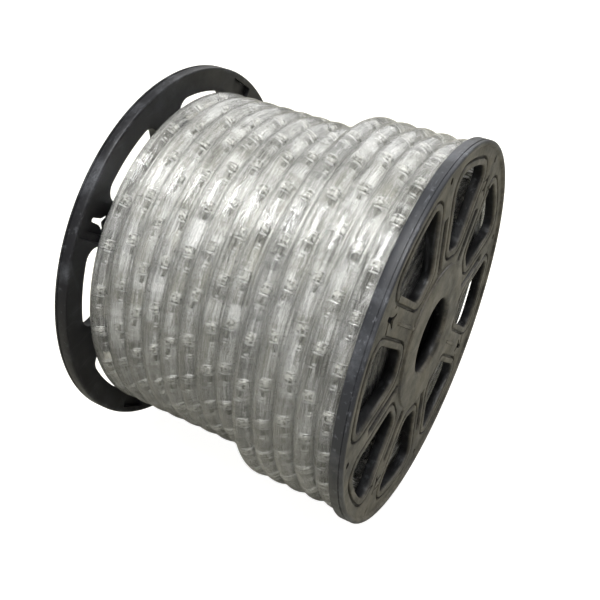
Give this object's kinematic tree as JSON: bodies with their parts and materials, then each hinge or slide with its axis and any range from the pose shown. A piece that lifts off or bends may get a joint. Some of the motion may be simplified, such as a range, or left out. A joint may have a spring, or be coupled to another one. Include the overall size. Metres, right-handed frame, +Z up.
{
  "type": "rope light reel",
  "caption": "Reel of clear LED rope light: a flexible round clear tube with lamps along it, wound in layers on a dark plastic spool with windowed flanges",
  "frame": {"origin": "on the floor plane under the middle of the spool's axis", "axes": "X runs along the spool's axis toward the flange with the higher turns beside it, Z is up"},
  "size_m": [0.195, 0.25, 0.25],
  "materials": {
    "flange_left": "moulded, satin",
    "flange_right": "moulded, scuffed",
    "barrel": "plain",
    "rope_winding": "clear, glossy"
  },
  "bodies": {
    "root": {"flange_left": "flange_left", "flange_right": "flange_right", "barrel": "barrel", "rope_winding": "rope_winding"}
  },
  "joints": []
}
